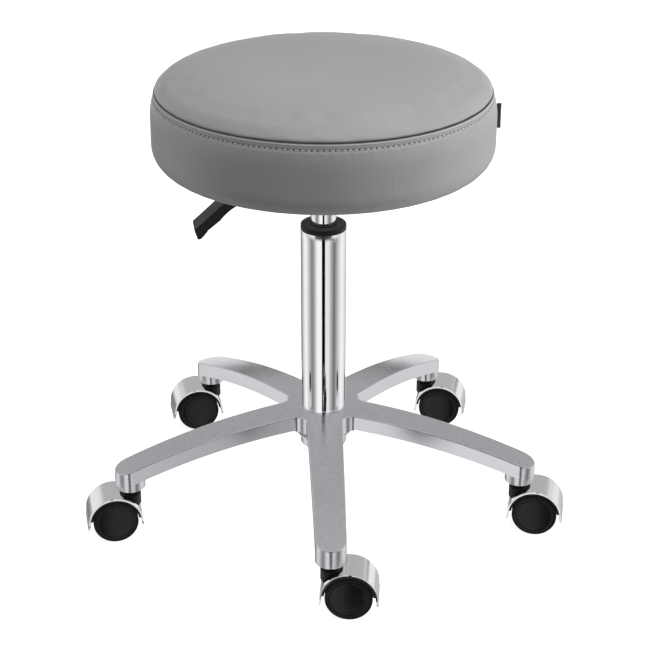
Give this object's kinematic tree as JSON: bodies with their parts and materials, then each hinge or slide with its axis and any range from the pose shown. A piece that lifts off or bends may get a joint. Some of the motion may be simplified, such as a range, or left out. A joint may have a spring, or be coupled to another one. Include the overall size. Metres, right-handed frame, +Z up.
{
  "type": "dentist stool",
  "caption": "Round padded stool on a gas-lift column with a release lever, over an aluminium star base on twin-wheel casters.",
  "frame": {"origin": "on the floor, on the axis of the gas-lift column", "axes": "+Z up along the column; -Y towards the front arm of the base; the seat at its lowest"},
  "size_m": [0.5412, 0.4628, 0.52],
  "materials": {
    "cast_aluminium": "satin",
    "zinc_steel": "satin",
    "chrome": "polished",
    "chrome_hood": "polished",
    "black_plastic": "satin",
    "rubber": "matte",
    "black_painted_steel": "satin",
    "plywood": "matte",
    "foam": "matte",
    "grey_leatherette": "satin",
    "dust_cloth": "matte",
    "dark_ribbon": "matte",
    "wheel_nylon": "satin"
  },
  "bodies": {
    "base": {"star_base": "cast_aluminium", "caster_stems": "zinc_steel", "stem_grip_rings": "zinc_steel", "tube_end_plate": "zinc_steel", "column_tube": "chrome", "column_collar": "black_plastic", "guide_sleeve": "black_plastic", "collar_rivet": "zinc_steel"},
    "piston_rod": {"piston_rod": "chrome", "rod_clip": "zinc_steel", "thrust_bearing": "zinc_steel", "bump_stop": "rubber", "piston": "rubber"},
    "seat": {"lift_cylinder": "chrome", "cylinder_gland": "black_plastic", "valve_body": "zinc_steel", "seat_plate": "black_painted_steel", "cone_socket": "black_painted_steel", "lever_bracket": "black_painted_steel", "lever_pivot_pin": "zinc_steel", "plate_screws": "zinc_steel", "tee_nuts": "zinc_steel", "staples": "zinc_steel", "seat_board": "plywood", "seat_foam": "foam", "cover_top": "grey_leatherette", "cover_band": "grey_leatherette", "bottom_cover": "dust_cloth", "side_tag": "dark_ribbon"},
    "lever": {"lever_arm": "zinc_steel", "lever_paddle": "black_plastic"},
    "release_button": {"release_button": "zinc_steel"},
    "caster_1": {"caster_hood_1": "chrome_hood", "caster_body_1": "black_plastic", "caster_axle_1": "zinc_steel"},
    "wheel_left_1": {"wheel_left_1": "wheel_nylon"},
    "wheel_right_1": {"wheel_right_1": "wheel_nylon"},
    "caster_2": {"caster_hood_2": "chrome_hood", "caster_body_2": "black_plastic", "caster_axle_2": "zinc_steel"},
    "wheel_left_2": {"wheel_left_2": "wheel_nylon"},
    "wheel_right_2": {"wheel_right_2": "wheel_nylon"},
    "caster_3": {"caster_hood_3": "chrome_hood", "caster_body_3": "black_plastic", "caster_axle_3": "zinc_steel"},
    "wheel_left_3": {"wheel_left_3": "wheel_nylon"},
    "wheel_right_3": {"wheel_right_3": "wheel_nylon"},
    "caster_4": {"caster_hood_4": "chrome_hood", "caster_body_4": "black_plastic", "caster_axle_4": "zinc_steel"},
    "wheel_left_4": {"wheel_left_4": "wheel_nylon"},
    "wheel_right_4": {"wheel_right_4": "wheel_nylon"},
    "caster_5": {"caster_hood_5": "chrome_hood", "caster_body_5": "black_plastic", "caster_axle_5": "zinc_steel"},
    "wheel_left_5": {"wheel_left_5": "wheel_nylon"},
    "wheel_right_5": {"wheel_right_5": "wheel_nylon"}
  },
  "joints": [
    {"name": "seat_swivel", "type": "hinge", "parent": "base", "child": "piston_rod", "pos_m": [0, 0, 0.08], "axis": [0, 0, 1], "continuous": true},
    {"name": "seat_height", "type": "slide", "parent": "piston_rod", "child": "seat", "axis": [0, 0, 1], "range_m": [0, 0.13]},
    {"name": "lever_pull", "type": "hinge", "parent": "seat", "child": "lever", "pos_m": [-0.02575, -0.00362, 0.4035], "axis": [-0.1392, 0.9903, 0], "range_deg": [0, 7], "stiffness_Nm_per_rad": 0.5, "springref_deg": -5.73},
    {"name": "button_press", "type": "slide", "parent": "seat", "child": "release_button", "axis": [0, 0, -1], "range_m": [0, 0.0034]},
    {"name": "caster_swivel_1", "type": "hinge", "parent": "base", "child": "caster_1", "pos_m": [0.00756, -0.22787, 0.045], "axis": [0, 0, 1], "continuous": true},
    {"name": "wheel_left_spin_1", "type": "hinge", "parent": "caster_1", "child": "wheel_left_1", "pos_m": [0.02702, -0.22913, 0.025], "axis": [0.0645, 0.9979, 0], "continuous": true},
    {"name": "wheel_right_spin_1", "type": "hinge", "parent": "caster_1", "child": "wheel_right_1", "pos_m": [0.02702, -0.22913, 0.025], "axis": [0.0645, 0.9979, 0], "continuous": true},
    {"name": "caster_swivel_2", "type": "hinge", "parent": "base", "child": "caster_2", "pos_m": [0.21906, -0.06323, 0.045], "axis": [0, 0, 1], "continuous": true},
    {"name": "wheel_left_spin_2", "type": "hinge", "parent": "caster_2", "child": "wheel_left_2", "pos_m": [0.23825, -0.06668, 0.025], "axis": [0.1771, 0.9842, 0], "continuous": true},
    {"name": "wheel_right_spin_2", "type": "hinge", "parent": "caster_2", "child": "wheel_right_2", "pos_m": [0.23825, -0.06668, 0.025], "axis": [0.1771, 0.9842, 0], "continuous": true},
    {"name": "caster_swivel_3", "type": "hinge", "parent": "base", "child": "caster_3", "pos_m": [0.12783, 0.1888, 0.045], "axis": [0, 0, 1], "continuous": true},
    {"name": "wheel_left_spin_3", "type": "hinge", "parent": "caster_3", "child": "wheel_left_3", "pos_m": [0.14706, 0.18558, 0.025], "axis": [0.165, 0.9863, 0], "continuous": true},
    {"name": "wheel_right_spin_3", "type": "hinge", "parent": "caster_3", "child": "wheel_right_3", "pos_m": [0.14706, 0.18558, 0.025], "axis": [0.165, 0.9863, 0], "continuous": true},
    {"name": "caster_swivel_4", "type": "hinge", "parent": "base", "child": "caster_4", "pos_m": [-0.14006, 0.17991, 0.045], "axis": [0, 0, 1], "continuous": true},
    {"name": "wheel_left_spin_4", "type": "hinge", "parent": "caster_4", "child": "wheel_left_4", "pos_m": [-0.15915, 0.17596, 0.025], "axis": [0.2028, -0.9792, 0], "continuous": true},
    {"name": "wheel_right_spin_4", "type": "hinge", "parent": "caster_4", "child": "wheel_right_4", "pos_m": [-0.15915, 0.17596, 0.025], "axis": [0.2028, -0.9792, 0], "continuous": true},
    {"name": "caster_swivel_5", "type": "hinge", "parent": "base", "child": "caster_5", "pos_m": [-0.21439, -0.07761, 0.045], "axis": [0, 0, 1], "continuous": true},
    {"name": "wheel_left_spin_5", "type": "hinge", "parent": "caster_5", "child": "wheel_left_5", "pos_m": [-0.2335, -0.08146, 0.025], "axis": [0.1977, -0.9803, 0], "continuous": true},
    {"name": "wheel_right_spin_5", "type": "hinge", "parent": "caster_5", "child": "wheel_right_5", "pos_m": [-0.2335, -0.08146, 0.025], "axis": [0.1977, -0.9803, 0], "continuous": true}
  ],
  "couplings": [
    {"joint": "button_press", "follows": "lever_pull", "m_per_rad": 0.0275}
  ]
}
